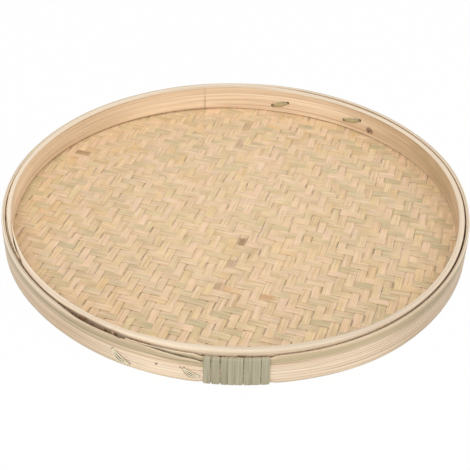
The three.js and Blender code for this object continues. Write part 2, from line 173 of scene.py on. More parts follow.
PEACH = srgb(241, 207, 176)
STRAW = srgb(235, 209, 160)
SAGE = srgb(198, 186, 148)
ORANGE = srgb(236, 190, 138)
BROWN = srgb(150, 112, 82)
RAW = srgb(116, 88, 66)
STREAK = srgb(212, 178, 140)
PALE = srgb(248, 224, 194)
CREAM = srgb(244, 223, 195)
CREST = srgb(252, 238, 216)
PINK = srgb(234, 210, 183)
TAN = srgb(228, 200, 163)
GRAIN_LINE = srgb(200, 167, 134)
GRAIN_DARK = srgb(160, 124, 96)
SKIN = srgb(200, 182, 145)
OLIVE = srgb(186, 168, 130)
FOOT = srgb(206, 190, 164)
BOUND = srgb(170, 164, 138)
BOUND_PALE = srgb(188, 180, 156)
BOUND_DARK = srgb(142, 134, 110)
LACE_PALE = srgb(238, 230, 204)
LACE_SHADE = srgb(84, 66, 48)
LACE_GREEN = srgb(186, 175, 136)
LACE_LIGHT = srgb(206, 194, 152)
LACE_DARK = srgb(152, 134, 94)
KNOT = srgb(112, 78, 66)


class Nodes:
    """Short calls for building the nodes of a material, or of a world."""

    def __init__(self, name, owners="materials", output="ShaderNodeOutputMaterial"):
        self.owner = getattr(bpy.data, owners).new(name)
        self.owner.use_nodes = True
        self.tree = self.owner.node_tree
        self.tree.nodes.clear()
        self.colour = None
        self.surface = self.node(output).inputs["Surface"]

    def feed(self, socket, value):
        if isinstance(value, bpy.types.NodeSocket):
            self.tree.links.new(value, socket)
        else:
            socket.default_value = value

    def node(self, kind, inputs=None, **settings):
        made = self.tree.nodes.new(kind)
        for key, value in settings.items():
            setattr(made, key, value)
        for key, value in (inputs or {}).items():
            self.feed(made.inputs[key], value)
        return made

    def math(self, operation, a, b=0.0):
        return self.node("ShaderNodeMath", {0: a, 1: b}, operation=operation).outputs[0]

    def times(self, a, b):
        return self.math("MULTIPLY", a, b)

    def plus(self, a, b):
        return self.math("ADD", a, b)

    def sloped(self, value, by, start):
        return self.plus(self.times(value, by), start)

    def ramp(self, value, low, high):
        """0 at low, 1 at high, smooth between."""
        ends = {"Value": value, "From Min": low, "From Max": high}
        return self.node("ShaderNodeMapRange", ends, interpolation_type="SMOOTHSTEP").outputs["Result"]

    def mix(self, share, a, b, blend="MIX"):
        inputs = {0: share, 6: a, 7: b}
        return self.node("ShaderNodeMix", inputs, data_type="RGBA", blend_type=blend).outputs[2]

    def lay(self, paint, share, by=1.0):
        """Lays paint over the colour, as much of it as the two shares leave when multiplied."""
        self.colour = self.mix(self.times(share, by), self.colour, paint)

    @property
    def grain(self):
        """The attribute grain: along the strip, across it and by the piece, in metres."""
        if "grain" not in self.tree.nodes:
            self.node("ShaderNodeAttribute", name="grain", attribute_name="grain")
        return self.tree.nodes["grain"].outputs["Vector"]

    def tint(self):
        """The three shares and the lightness of the attribute tint."""
        carrier = self.node("ShaderNodeAttribute", attribute_name="tint")
        parts = self.node("ShaderNodeSeparateColor", {"Color": carrier.outputs["Color"]})
        return [*parts.outputs, carrier.outputs["Alpha"]]

    def position(self):
        return self.node("ShaderNodeNewGeometry").outputs["Position"]

    def noise(self, scale, detail=3.0, rough=0.55, vector=None):
        """Noise along the grain, or another vector, stretched by the scale."""
        inputs = {0: vector or self.grain, 1: scale}
        stretched = self.node("ShaderNodeVectorMath", inputs, operation="MULTIPLY").outputs[0]
        inputs = {"Vector": stretched, "Scale": 1.0, "Detail": detail, "Roughness": rough}
        return self.node("ShaderNodeTexNoise", inputs).outputs["Fac"]

    def line(self, place, at, width):
        """1 on a line at a place, 0 past its width."""
        return self.ramp(self.math("ABSOLUTE", self.plus(place, -at)), width, width * 0.35)

    def near(self, place, low, high):
        """1 within the radius low of a place, 0 past the radius high, all in metres."""
        apart = self.node("ShaderNodeVectorMath", {0: self.position(), 1: place}, operation="DISTANCE")
        return self.ramp(apart.outputs["Value"], high, low)

    def bamboo(self, light, roughness, height, relief, gloss=0.35):
        """Ends the tree in the colour, lit, with a relief in millimetres."""
        relief = {"Strength": 1.0, "Distance": relief * MM, "Height": height}
        shader = {
            "Base Color": self.mix(1.0, self.colour, light, "MULTIPLY"), "Roughness": roughness,
            "Normal": self.node("ShaderNodeBump", relief).outputs["Normal"], "Specular IOR Level": gloss,
        }
        self.feed(self.surface, self.node("ShaderNodeBsdfPrincipled", shader).outputs["BSDF"])
        return self.owner

    def blend(self, share, first, second):
        """Ends the tree in two mixed shaders."""
        self.feed(self.surface, self.node("ShaderNodeMixShader", {0: share, 1: first, 2: second}).outputs[0])
        return self.owner

    def seen(self):
        """1 where the camera or a gloss looks, 0 where only light falls."""
        path = self.node("ShaderNodeLightPath").outputs
        return self.math("MAXIMUM", path["Is Camera Ray"], path["Is Glossy Ray"])


def splint_material():
    """Split bamboo. The attribute tint carries green, orange and brown shares, and how light the piece is,
    painted light and shade included.
    """
    n = Nodes("splint_bamboo")
    green, orange, brown, light = n.tint()
    fibres = n.noise((70, 2600, 40), 2.0, 0.6)
    streaks = n.noise((22, 680, 40), 3.0, 0.7)
    clouds = n.noise((24, 90, 17), 2.0, 0.5)
    both = n.plus(streaks, clouds)
    n.colour = n.mix(n.ramp(both, 0.8, 1.2), PEACH, STRAW)
    n.lay(SAGE, green, n.sloped(n.ramp(both, 0.78, 1.2), 0.75, 0.25))
    n.lay(ORANGE, orange, n.ramp(clouds, 0.3, 0.7))
    n.lay(STREAK, n.ramp(streaks, 0.52, 0.66), 0.85)
    n.lay(PALE, n.ramp(streaks, 0.46, 0.34), 0.6)
    # Brown below 1 marks stains and the trimmed ends, past 1 raw ends; at the ends it is partly painted shade
    # of the gap between the hoops.
    n.lay(BROWN, n.math("MINIMUM", brown, 1.0), n.ramp(streaks, 0.2, 0.5))
    torn_and_shade = n.plus(brown, -1.0)
    n.lay(RAW, torn_and_shade, n.ramp(streaks, 0.34, 0.5))
    n.lay(STRAW, torn_and_shade, n.ramp(fibres, 0.53, 0.62))
    light = n.times(n.sloped(fibres, 0.16, 0.92), light)
    return n.bamboo(light, n.sloped(fibres, 0.2, 0.42), n.sloped(fibres, 0.6, streaks), 0.16)


# Height and half width of each brown grain line that runs round the outer hoop, and how strong it is.
OUTER_LINES = (
    (20.3, 0.5, 0.75), (16.6, 0.35, 0.45), (12.4, 0.45, 0.6), (9.3, 0.3, 0.35), (6.6, 0.45, 0.6),
    (3.4, 0.3, 0.4),
)


def hoop_material():
    """A bent hoop. Tint carries the shares of green skin (pale where it is negative), tan and grey foot (the
    cane's joint where it is negative), and how light the wood is, painted light and shade included."""
    n = Nodes("hoop_bamboo")
    skin, tan, foot, light = n.tint()
    fibres = n.noise((35, 2200, 40), 2.0, 0.6)
    fine = n.noise((9, 980, 60), 2.0, 0.6)
    bands = n.noise((4, 230, 40))
    lines = n.noise((5, 460, 23), 2.0, 0.5)
    clouds = n.noise((16, 60, 31), 2.0, 0.5)
    n.colour = n.mix(n.ramp(bands, 0.38, 0.62), CREAM, PINK)
    n.lay(TAN, tan, n.ramp(n.plus(bands, fine), 0.6, 1.2))
    n.lay(TAN, tan, 0.4)
    n.lay(GRAIN_LINE, n.ramp(lines, 0.5, 0.64), 0.6)
    n.lay(GRAIN_LINE, n.ramp(fine, 0.52, 0.68), 0.55)
    n.lay(PALE, n.ramp(fine, 0.46, 0.32), 0.5)
    green = n.times(skin, n.sloped(n.ramp(bands, 0.3, 0.6), 0.35, 0.65))
    n.lay(SKIN, green)
    n.lay(OLIVE, green, n.ramp(fine, 0.5, 0.64))
    n.lay(OLIVE, n.ramp(clouds, 0.5, 0.7), n.times(tan, 0.55))
    n.lay(CREST, skin, -1.0)
    height = n.node("ShaderNodeSeparateXYZ", {0: n.grain}).outputs[1]
    up = n.sloped(height, 1 / MM, n.sloped(n.noise((7, 0, 3), 1.0), 2.2, -1.1))
    groove = 0.0
    for at, width, strength in OUTER_LINES:
        broken = n.ramp(n.noise((11, 0, at), 2.0), 0.3, 0.6)
        groove = n.math("MAXIMUM", groove, n.times(n.times(n.line(up, at, width), broken), strength))
    n.lay(GRAIN_DARK, groove)
    n.lay(FOOT, foot, n.ramp(clouds, 0.2, 0.5))
    n.lay(KNOT, foot, -1.0)
    # Painted shade behind and along the laces, and painted dark pits at their ends.
    for outside, strength, spots in LACE_SHADES:
        for place, radius in lace_spots(outside, spots):
            n.lay(LACE_SHADE, n.near(place, radius * 0.7 * MM, radius * MM), strength)
    speckle = n.ramp(n.noise((900, 900, 40), 1.0), 0.4, 0.52)
    for place, radius in DARK_SPOTS:
        n.lay(KNOT, n.near(place, radius * 0.4 * MM, radius * MM), speckle)
    light = n.times(n.sloped(fibres, 0.14, 0.93), light)
    relief = n.sloped(fibres, 0.5, n.plus(bands, n.plus(lines, fine)))
    return n.bamboo(light, n.sloped(fibres, 0.2, 0.38), n.sloped(groove, -1.0, relief), 0.2)


def strip_material(name, base, pale, dark):
    """A thin strip of bamboo skin."""
    n = Nodes(name)
    fibres = n.noise((40, 2400, 40), 2.0, 0.6)
    streaks = n.noise((18, 700, 40), 3.0, 0.6)
    n.colour = n.mix(n.ramp(streaks, 0.42, 0.7), base, pale)
    n.lay(dark, n.ramp(streaks, 0.45, 0.25))
    light = n.sloped(fibres, 0.16, n.tint()[3])
    return n.bamboo(light, n.sloped(fibres, 0.2, 0.45), n.plus(fibres, streaks), 0.12, 0.3)


# Meshes

# The two attributes of every piece: name, type, the field that holds the values and how many they are.
ATTRIBUTES = (("grain", "FLOAT_VECTOR", "vector", 3), ("tint", "FLOAT_COLOR", "color", 4))


def add_piece(name, shells, grain, tint, material, nodes, sharp=35):
    """A mesh from closed shells, each of rings of points in millimetres, with its two attributes, riding on
    the frame in place of CAD nodes."""
    points, faces = [], []
    for rings in shells:
        flat = rings.reshape(-1, 3)
        faces += [tuple(len(points) + i for i in face) for face in outward(flat, skin(rings))]
        points += (flat * MM).tolist()
    mesh = new_mesh(name, points, faces)
    for values, attribute in zip((grain, tint), ATTRIBUTES):
        key, kind, field, _ = attribute
        layer = mesh.attributes.new(key, kind, "POINT")
        layer.data.foreach_set(field, np.asarray(values, np.float32).ravel())
    mesh.materials.append(material)
    mesh.shade_smooth()
    mesh.set_sharp_from_angle(angle=math.radians(sharp))
    piece = add_object(name, mesh)
    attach(piece, "root")
    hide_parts(*nodes)
    return piece


def skin(rings):
    """Faces over rings of points, with both ends closed. The rings run anticlockwise seen from behind."""
    count, size = rings.shape[:2]
    faces = []
    for k in range(count - 1):
        a, b = k * size, (k + 1) * size
        faces += [(a + i, a + (i + 1) % size, b + (i + 1) % size, b + i) for i in range(size)]
    faces.append(tuple(range(size))[::-1])
    faces.append(tuple(range((count - 1) * size, count * size)))
    return faces


def outward(points, faces):
    """The faces, turned round if they enclose a negative volume."""
    flat = np.asarray(points)
    fans = np.array([(face[0], face[i], face[i + 1]) for face in faces for i in range(1, len(face) - 1)])
    a, b, c = (flat[fans[:, k]] for k in range(3))
    return faces if np.sum(a * np.cross(b, c)) > 0 else [face[::-1] for face in faces]


# Woven mat

WARP_PITCH = 7.5
WEFT_PITCH = 7.76
WARP_TURN = math.radians(15.54)
WEFT_TURN = math.radians(17.07)
WARP_OFFSET = 3.2
WEFT_OFFSET = 1.36
WARP_FAN = 13.7
WEFT_BOW = -4.5
WEFT_CROWD = 9.1
SOLVE_STEPS = 16
TWILL_REPEAT = 4
TWILL_PHASE = 2
MAT_MIDDLE = 5.3
MAT_RISE = 0.25
WARP_WIDTH = 7.36
WEFT_WIDTH = 7.78
FOLD_RADIUS = 1.6
WALL_RADIUS = 196.3
FOLD_START = WALL_RADIUS - FOLD_RADIUS
# The distance along a splint at which it would be at height 0 if it stood upright from there.
WALL_START = FOLD_START + FOLD_RADIUS * QUARTER - MAT_MIDDLE - FOLD_RADIUS
# Stops within one crossing, from the middle of a float to the middle of the next.
CROSSING_STOPS = np.array((0.0, 0.32, 0.43, 0.5, 0.57, 0.68))
REACH = 34
# A splint's section: the top from side to side, then the bottom back. Shares of half the width, and heights.
SECTION_SHARES = np.array((-1, -0.85, -0.45, 0, 0.45, 0.85, 1, 0.92, 0, -0.92))
SECTION_HEIGHTS = np.array((0.17, 0.22, 0.24, 0.24, 0.24, 0.22, 0.17, -0.2, -0.2, -0.2))
# How much of an edge's shade each line of the section takes: on the left, and on the right.
LEFT_SHADE = np.array((1, 0.2, 0, 0, 0, 0, 0, 0.2, 0, 1))
RIGHT_SHADE = np.array((0, 0, 0, 0, 0, 0.2, 1, 1, 0, 0.2))
STAIN_SHARES = np.array((0, 0.5, 1, 1, 1, 0.5, 0, 0, 0, 0))
# How far a splint drifts from its line in pitches, and how its width swells, for a warp and for a weft.
DRIFT = 0.03
SWELL = (0.045, 0.02)
# The part of a crossing in which a splint passes from one level to the other.
TURN_OVER = (0.32, 0.68)
LOOK_AHEAD = 0.01
# The last crossing kept stops short of the trimming height, and the grain runs on over the cut end.
END_MARGIN = 0.4
END_RUN = 0.3
# Green by splint for a warp and for a weft: mean, spread, strength of its patches and their waves.
GREEN = ((0.05, 0.12, 0.15, (0.04, 0.1)), (0.75, 0.25, 0.5, (0.04, 0.09, 0.23)))
# The least and the most shade along an edge, for a warp and for a weft.
EDGE_SHADE = ((0.0, 0.95), (-0.16, 0.12))
# Where the mat's raw ends show in a wider gap.
RAW_FROM, RAW_TO = math.radians(-136), math.radians(-114.9)


def across_weave(x, y):
    """Where a point lies in the weave: its distances across the warps and across the wefts."""
    east, north = x / OUTER_RADIUS, y / OUTER_RADIUS
    warps = x * math.cos(WARP_TURN) - y * math.sin(WARP_TURN) + WARP_FAN * east * north
    wefts = x * math.sin(WEFT_TURN) + y * math.cos(WEFT_TURN) + WEFT_BOW * east**2 + WEFT_CROWD * north**2
    return WARP_OFFSET + warps, WEFT_OFFSET + wefts


def weave_point(warp, weft):
    """The point of the floor so many warps and wefts from the middle ones."""
    turn = (WARP_TURN + WEFT_TURN) / 2
    x, y = np.zeros_like(warp), np.zeros_like(warp)
    for _ in range(SOLVE_STEPS):
        at_warp, at_weft = across_weave(x, y)
        warp_miss, weft_miss = warp * WARP_PITCH - at_warp, weft * WEFT_PITCH - at_weft
        x = x + warp_miss * math.cos(turn) + weft_miss * math.sin(turn)
        y = y + weft_miss * math.cos(turn) - warp_miss * math.sin(turn)
    return x, y


def weft_on_top(warp, weft):
    return (abs(warp) + abs(weft) + TWILL_PHASE) % TWILL_REPEAT < TWILL_REPEAT / 2


def raw_zone(angle):
    """1 where the raw ends show, 0 elsewhere."""
    turned = (np.asarray(angle) + math.pi) % TURN - math.pi
    return between(turned, RAW_FROM, RAW_FROM + 0.16, RAW_TO - 0.02, RAW_TO + 0.02)


# How high the mat's trimmed ends reach between the hoops.
trim_height = about_rim(
    (-160, 27), (-148, 25.5), (-137, 25), (-129, 27), (-117, 27), (-110, 25), (-100, 26), (-80, 26.4),
    (-56, 26.2), (-44, 24.5), (-30, 23.5), (-14, 24.1), (0, 26), (20, 27.3), (45, 26.5), (60, 26.5),
    (75, 27.5), (120, 27.5), (134, 26), (150, 26), (175, 27),
)
# Where the mat's bend up to the rim is olive, and how brown its trimmed ends are: raw wood and painted shade
# of the gap.
bend_shade = about_rim((100, 0), (116, 1), (170, 1), (184, 0.5), (196, 0))
brown_ends = about_rim(
    (-152, 0.3), (-143, 0.9), (-40, 1), (-22, 0.6), (0, 0.2), (40, 0.2), (60, 1), (120, 1), (145, 0.5),
    (160, 0.15), (180, 0.05), (-165, 0.1),
)
# Warm, stained areas of the floor: middle, reach and strength.
WARM_AREAS = (
    (-115, 105, 60, 0.5), (-165, -10, 45, 0.45), (-110, -125, 50, 0.4), (60, 150, 45, 0.3),
    (95, -60, 40, 0.25),
)


def warmth(x, y):
    return sum(s * np.exp(-((x - a) ** 2 + (y - b) ** 2) / r**2) for a, b, r, s in WARM_AREAS)


def fold(x, y, height, push):
    """A point of the flat mat, carried up between the hoops where it lies past the fold."""
    angle = np.arctan2(y, x)
    bent = stray(angle)
    plan = np.hypot(x, y) - bent
    past = np.clip((plan - FOLD_START) / FOLD_RADIUS, 0, QUARTER)
    rest = np.maximum(plan - FOLD_START - FOLD_RADIUS * QUARTER, 0)
    radius = FOLD_START + (FOLD_RADIUS - height) * np.sin(past)
    z = MAT_MIDDLE + FOLD_RADIUS - (FOLD_RADIUS - height) * np.cos(past) + rest
    radius = radius + push * raw_zone(angle) * smoothstep(z, 10, 24)
    flat = plan <= FOLD_START
    return around(np.where(flat, plan, radius) + bent, angle, np.where(flat, MAT_MIDDLE + height, z))


# The higher, the fewer crossings are dark.
SELDOM = 4.5
# Floats of another colour that the photograph shows: across (0 for a warp, 1 for a weft), number, the
# crossings from and to, the tint's channel (0 green, 1 orange, 2 brown) and how strong.
MARKED = (
    (0, 2, 0.35, 1.6, 2, 0.4), (0, 2, -4.1, -2.2, 2, 0.75), (0, 2, -8.0, -6.2, 2, 0.45),
    (0, 2, -11.9, -10.2, 2, 0.4), (0, -4, 15.3, 21.6, 2, 0.35), (1, -11, 6.2, 8.0, 2, 0.3),
    (1, -11, 6.2, 8.0, 1, 1.6), (1, -11, 9.4, 11.6, 1, 0.8), (1, -11, 2.2, 4.2, 1, 1.2),
    (1, 8, -23.6, -21.6, 2, 0.6),
)


def chance(places, least, most):
    """A painted shade for each crossing, mostly light and now and then dark, the same along the crossing."""
    first = int(np.floor(places.min()))
    throws = RNG.uniform(0, 1, int(np.ceil(places.max())) - first + 3)
    return lerp(least, most, throws**SELDOM)[np.rint(places - first).astype(int) + 1]


def splint(across, number, material):
    """One splint of the mat: a warp where across is 0, or a weft where it is 1."""
    pitch = (WEFT_PITCH, WARP_PITCH)[across]
    width = (WARP_WIDTH, WEFT_WIDTH)[across] * RNG.uniform(0.975, 1.0)
    steps = np.arange(-REACH, REACH)
    t = (steps[:, None] + CROSSING_STOPS).ravel()
    drift = wobble((0.031, 0.07, 0.13))
    swell = wobble((0.05, 0.13, 0.27))
    line = number + DRIFT * drift(t)

    def place(at):
        return np.stack(weave_point(at, line) if across else weave_point(line, at), -1)

    spot = place(t)
    along = place(t + LOOK_AHEAD) - spot
    along /= np.linalg.norm(along, axis=1)[:, None]
    aside = (width / 2 * (1 + SWELL[across] * swell(t)))[:, None] * SECTION_SHARES
    px, py = spot[:, :1] + along[:, 1:] * aside, spot[:, 1:] - along[:, :1] * aside

    crossings = np.arange(-REACH, REACH + 1)
    levels = np.where(weft_on_top(crossings, number) == bool(across), 1, -1)
    rolls = RNG.uniform(-0.05, 0.05, len(levels))
    base = np.repeat(np.arange(len(steps)), len(CROSSING_STOPS))
    share = smoothstep(np.tile(CROSSING_STOPS, len(steps)), *TURN_OVER)
    level, roll = (lerp(values[base], values[base + 1], share) for values in (levels, rolls))
    height = MAT_RISE * level[:, None] + SECTION_HEIGHTS + roll[:, None] * SECTION_SHARES
    lines = np.stack([px, py, height], -1)
    angle = np.arctan2(py, px)
    plan = np.hypot(px, py) - stray(angle)

    ends = [RNG.uniform(-1.1, 0.9) for _ in range(2)]
    pushes = [RNG.uniform(-0.3, 2.4) for _ in range(2)]
    bare_and_shade = 0.9 + 1.1 * RNG.uniform(0, 1) ** 0.6
    middle = int(np.argmin(np.abs(plan[:, 3])))
    later = np.arange(len(t)) > middle
    ragged = np.where(later, ends[1], ends[0]) * (1 + raw_zone(angle[:, 3]))
    limit = WALL_START + trim_height(angle[:, 3]) + ragged
    inside = plan.max(axis=1) < limit - END_MARGIN
    if not inside[middle]:
        return
    first = last = middle
    while first > 0 and inside[first - 1]:
        first -= 1
    while last < len(t) - 1 and inside[last + 1]:
        last += 1

    def end_ring(edge, way):
        """The cut end: each line of the splint runs on to the trimming height, or a crossing at most."""
        stop = np.clip(edge + way * len(CROSSING_STOPS), 0, len(t) - 1)
        ring = []
        for c in range(len(SECTION_SHARES)):
            k = edge
            while k != stop and plan[k + way, c] < limit[edge]:
                k += way
            after = k + way if k != stop else k
            span = plan[after, c] - plan[k, c]
            part = np.clip((limit[edge] - plan[k, c]) / span, 0.02, 1) if abs(span) > 1e-6 else 0.5
            ring.append(lerp(lines[k, c], lines[after, c], part))
        return [ring]

    keep = slice(first, last + 1)
    flat = np.concatenate([end_ring(first, -1), lines[keep], end_ring(last, 1)])
    ts = np.concatenate([[t[first] - END_RUN], t[keep], [t[last] + END_RUN]])
    push = np.where(ts > t[middle], pushes[1], pushes[0])[:, None]
    points = fold(flat[..., 0], flat[..., 1], flat[..., 2], push)
    shape = points.shape[:2]
    grain = layered(shape, ts[:, None] * pitch * MM, SECTION_SHARES * width / 2 * MM, RNG.uniform(0, 10))

    east, north, up = points[:, 3].T
    angle, reach = np.arctan2(north, east), np.hypot(east, north)
    outward_share = smoothstep(reach, 40, 165)
    mean, varied, patchy, waves = GREEN[across]
    green = np.clip(RNG.normal(mean, varied) + patchy * wobble(waves)(ts), 0, 1)
    if across:
        green = green * (0.45 + 0.55 * outward_share)
    orange = RNG.normal(0.0, 0.12) + 0.2 * wobble((0.05, 0.12))(ts) + warmth(east, north)
    # Olive where the mat bends up at the back left.
    bend = smoothstep(reach, 181, 189) * bend_shade(angle)
    channels = [lerp(green, 0.7, bend), np.clip(orange * (1 - bend), 0, 1), np.zeros(len(ts))]
    # Lightness by splint and along it, with painted shade towards the rim and painted light towards the back.
    light = RNG.uniform(0.97, 1.02) + 0.035 * wobble((0.2, 0.45))(ts) - 0.03 * outward_share
    light = (1 + 0.08 * bend) * light * (0.99 + 0.022 * np.clip(north / 110, -1, 1))
    # Painted shade, by chance, where another splint lies over this one, and along its edges.
    level = np.concatenate([[1], level[keep], [1]])
    lying = up < MAT_MIDDLE + 1
    covered = (1 - smoothstep(level, -0.55, 0.1)) * lying * chance(ts, 0.0, 0.25)
    left, right = ((chance(ts, *EDGE_SHADE[across]) * lying)[:, None] for _ in range(2))
    edges = 1 - left * LEFT_SHADE - right * RIGHT_SHADE
    for marked_across, marked_number, low, high, channel, strength in MARKED:
        if (marked_across, marked_number) == (across, number):
            zone = between(ts, low - 0.15, low + 0.15, high - 0.15, high + 0.15)
            channels[channel] = channels[channel] + strength * zone
    # Towards the top the trimmed ends turn olive, and brown as brown_ends says: raw wood, and partly painted
    # shade of the gap between the hoops.
    near_end = smoothstep(up, 13, 21)
    channels[0] = lerp(channels[0], 0.7, near_end * (1 - brown_ends(angle)))
    channels[2] = channels[2] + bare_and_shade * near_end * brown_ends(angle)
    green, orange, brown = (channel[:, None] for channel in channels)
    brown = np.where(near_end[:, None] > 0, brown, brown * STAIN_SHARES)
    tint = layered(shape, green, orange, brown, (light * (1 - covered))[:, None] * edges)
    name = f"{('warp', 'weft')[across]}_{number + REACH:02d}"
    add_piece(name, [points], grain, tint, material, ("woven_floor", "turned_up_edge"), 50)


# Hoops

BINDING_ANGLE = math.radians(-89.33)
BINDING_TURNS = 8
BINDING_PITCH = 6.2
BINDING_WIDTH = 5.75
BINDING_THICKNESS = 0.6
BINDING_BEND = 0.9
BINDING_LIFT = 0.1
BINDING_RAMP = 4
PARED_WALL = BINDING_THICKNESS + SEAT_GAP
PARED_FOOT = BINDING_LIFT + BINDING_THICKNESS + SEAT_GAP
BINDING_SPAN = (BINDING_TURNS - 1) * BINDING_PITCH + BINDING_WIDTH
BINDING_REACH = (BINDING_SPAN + BINDING_PITCH) / 2

OUTER_LAP = {"from": -114.7, "to": -84, "ramp": 3, "first": 0.5, "last": 0.75, "steepness": 3, "gap": 0.55}
INNER_LAP = {"from": -168.5, "to": -154.7, "ramp": 3, "first": 0.2, "last": 0.82, "steepness": 1, "gap": 0.5}
OUTER_DROOP = 4.5
DROOP_FROM, DROOP_TO = math.radians(-112), math.radians(-97.5)
BINDING_PRESS = 1.2
HOOP_STEP = math.radians(1)
NODE_ANGLE = math.radians(99.9)
# How far the cane's joint reaches to each side and stands out, and stops across it.
NODE_REACH, NODE_RISE = 1.6, 0.45
NODE_STOPS = np.radians((-0.7, -0.5, -0.35, -0.2, -0.08, 0.08, 0.2, 0.35, 0.5, 0.7))


def on_rim(radius, degrees, height):
    """A place on the rim, in metres."""
    angle = math.radians(degrees)
    return tuple(around(radius + stray(angle), angle, height) * MM)


# Small dark spots and their radii: a knot in the inner hoop, and two pricks in the outer one.
INNER_KNOT = on_rim(INNER_INNER - 1.2, 49.6, 12.6)
OUTER_DOT = on_rim(OUTER_RADIUS, -107.1, 11.8)
DARK_SPOTS = (
    (INNER_KNOT, 4.4), (on_rim(INNER_INNER - 1.2, 48.8, 12.4), 3.2), (OUTER_DOT, 1.9),
    (on_rim(OUTER_RADIUS, -101.6, 13.2), 1.3),
)
# Pits at them: how far each lies along the rim and above the spot, and its radius.
KNOT_PITS = ((0, 0, 0.8), (1.3, 0.9, 0.5), (-2.5, -0.3, 0.6))
DOT_PITS = ((0, 0, 0.55), (1.4, 0.7, 0.4))


def lapped_wall(angle, inner, outer, lap):
    """A hoop's wall where its ends lap: the first end tapers along the inside, the last end over it."""
    low, high, ramp = (math.radians(lap[key]) for key in ("from", "to", "ramp"))

    def seam(turned, side):
        along = np.clip((turned - low) / (high - low), 0, 1)
        open_by = side * lap["gap"] / 2 * lerp(0.35, 1, smoothstep(along, 0.1, 0.8))
        return lerp(inner, outer, lerp(lap["first"], lap["last"], along ** lap["steepness"])) + open_by

    beneath = 1 - smoothstep(angle, high, high + ramp)
    above = smoothstep(angle, low + TURN - ramp, low + TURN)
    return lerp(inner, seam(angle - TURN, 1), above), lerp(outer, seam(angle, -1), beneath)


def under_binding(angle):
    turned = angle - BINDING_ANGLE
    apart = np.abs(np.arctan2(np.sin(turned), np.cos(turned))) * OUTER_RADIUS
    return 1 - smoothstep(apart, BINDING_REACH, BINDING_REACH + BINDING_RAMP)


def hoop_angles(lap):
    low, high = math.radians(lap["from"]), math.radians(lap["to"]) + TURN
    return np.linspace(low, high, int((high - low) / HOOP_STEP) + 1)[:, None]


def outer_top(angle):
    return OUTER_HEIGHT + TOP_RISE * waved(OUTER_TOP_WAVES, angle) - under_binding(angle) * BINDING_PRESS


# The outer hoop's section, from the foot up the outside and down the inside: the share across the wall, the
# height, and the share of green skin. The rows in FROM_TOP have their heights from the top.
OUTER_SECTION = (
    (0.02, 0.6, 0), (0.14, 0.1, 0), (0.5, 0.0, 0), (0.8, 0.08, 0), (0.94, 0.6, 0),
    *((1, z, 0) for z in (1.6, 3.2, 5.2, 7.2, 8.6, 10.0, 11.4, 12.8, 14.2, 15.8, 17.4, 19.2, 20.6)),
    (0.99, 21.6, 0.55), (0.98, 22.6, 1), (0.96, -4.6, 1), (0.94, -3.0, 1), (0.9, -1.3, 0.95),
    (0.82, -0.5, 0.7), (0.62, -0.1, 0.4), (0.4, 0, 0.1), (0.2, -0.05, -0.1), (0.05, -0.4, 0),
    (0, -1.3, 0), (0, 20, 0), (0, 13, 0), (0, 6, 0),
)
FROM_TOP = range(20, 29)
OUTER_FLUTE = 0.1
FLUTE_LENGTH = 4.3
# How far the outer hoop's inner face is hollowed where the raw ends show.
RAW_HOLLOW = 1.4
# How far the outer face is in at the foot, and the whole hoop out at the top.
foot_in = about_rim(
    (-160, -0.7), (-140, -1.5), (-128, -1.3), (-113, -0.6), (-100, -1.1), (-76, -1.5), (-64, 0.2),
    (-52, 0.5), (-40, -0.7), (-25, -1.4), (0, -1), (90, -0.8), (180, -0.8),
)
top_out = about_rim(
    (-150, 0.3), (-136, 0.6), (-126, 1.5), (-116, 1.3), (-106, 0.3), (-80, 0), (-40, 0), (-25, -0.4),
    (0, 0.7), (12, 1.3), (22, 1.2), (38, 0.1), (90, 0.1), (108, 0.8), (125, 1.1), (141, 1.5), (154, 0.7),
    (180, 0.7), (-165, 0.5),
)
# Painted light and shade: how light the outer hoop is at each place round the rim.
outer_light = about_rim(
    (-165, 0.97), (-140, 0.97), (-121, 1.02), (-110, 1.14), (-97, 1.14), (-80, 1.05), (-58, 1.05),
    (-47, 0.91), (-20, 0.88), (90, 0.95),
)
outer_tan = about_rim(
    (-165, 0.4), (-140, 0.5), (-120, 0.3), (-110, 0), (-60, 0), (-45, 0.35), (-20, 0.4), (90, 0.3),
)
# How pale the outer hoop's crest is, where it is not green.
pale_crest = about_rim(
    (-160, 1), (-145, 0.9), (-128, 0.6), (-112, 0.15), (-75, 0.1), (-40, 0.3), (-10, 0.9), (20, 1),
    (180, 1),
)
# How pale the lower part of the outer face is.
pale_face = about_rim((-128, 0), (-118, 0.4), (-98, 0.4), (-80, 0.3), (-62, 0.25), (-50, 0), (180, 0))
brown_side = about_rim(
    (-170, 0.8), (-122, 1), (-112, 0.3), (-100, 0), (-55, 0), (-45, 0.6), (-20, 0.6), (0, 0.3),
)
# Where painted shadow darkens the gap between the hoops.
dark_gap = about_rim(
    (-136, 1), (-60, 0.5), (-45, 0.7), (-25, 0.5), (-5, 0.15), (10, 0), (56, 0.2), (72, 0), (118, 0),
    (130, 0.4), (150, 0.1), (180, 0), (-165, 0.1), (-148, 0.5),
)


def round_strip(points, height, seed, tint, node, material):
    """Finishes a hoop: the grain runs round it and up it."""
    grain = layered(points.shape[:2], run_along(points[:, 0]) * MM, height * MM, seed)
    return add_piece(node + "_strip", [points], grain, tint, material, (node,))


